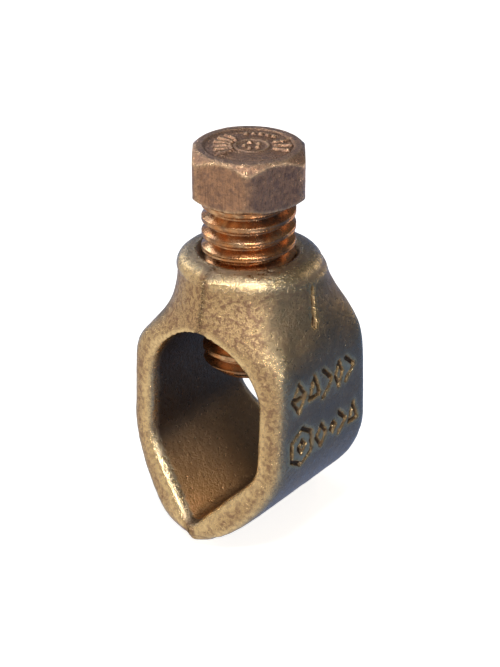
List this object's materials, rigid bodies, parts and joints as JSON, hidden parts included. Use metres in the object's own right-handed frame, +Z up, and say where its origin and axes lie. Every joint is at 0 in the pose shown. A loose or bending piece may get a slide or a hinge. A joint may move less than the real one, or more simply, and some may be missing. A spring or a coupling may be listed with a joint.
{
  "type": "ground clamp",
  "caption": "Cast bronze ground rod clamp: a pointed loop with a V seat and a threaded collar, closed by a hexagon head set bolt that presses the wire and rod into the V.",
  "frame": {"origin": "on the bolt's axis, at the lowest point of the body, which is the centre of the bottom of the bounding box", "axes": "+Z up along the bolt, from the V seat towards the bolt head; Y along the rod, through the opening; X across the opening, +X towards the side with the cast marks"},
  "size_m": [0.0196, 0.0212, 0.0408],
  "materials": {
    "cast_bronze": "tumbled sand cast bronze, matt with bright edges",
    "bolt_bronze": "cold headed silicon bronze, rolled thread, oxidised copper brown"
  },
  "bodies": {
    "clamp": {"clamp_body": "cast_bronze"},
    "bolt_travel": {"bolt_point": "bolt_bronze"},
    "bolt": {"hex_bolt": "bolt_bronze"}
  },
  "joints": [
    {"name": "bolt_advance", "type": "slide", "parent": "clamp", "child": "bolt_travel", "axis": [0, 0, 1], "range_m": [-0.0058, 0.0112]},
    {"name": "bolt_turn", "type": "hinge", "parent": "bolt_travel", "child": "bolt", "pos_m": [0, 0, 0.0296], "axis": [0, 0, 1], "range_deg": [-1305, 2520]}
  ],
  "couplings": [
    {"joint": "bolt_advance", "follows": "bolt_turn", "m_per_rad": 0.00025266}
  ]
}
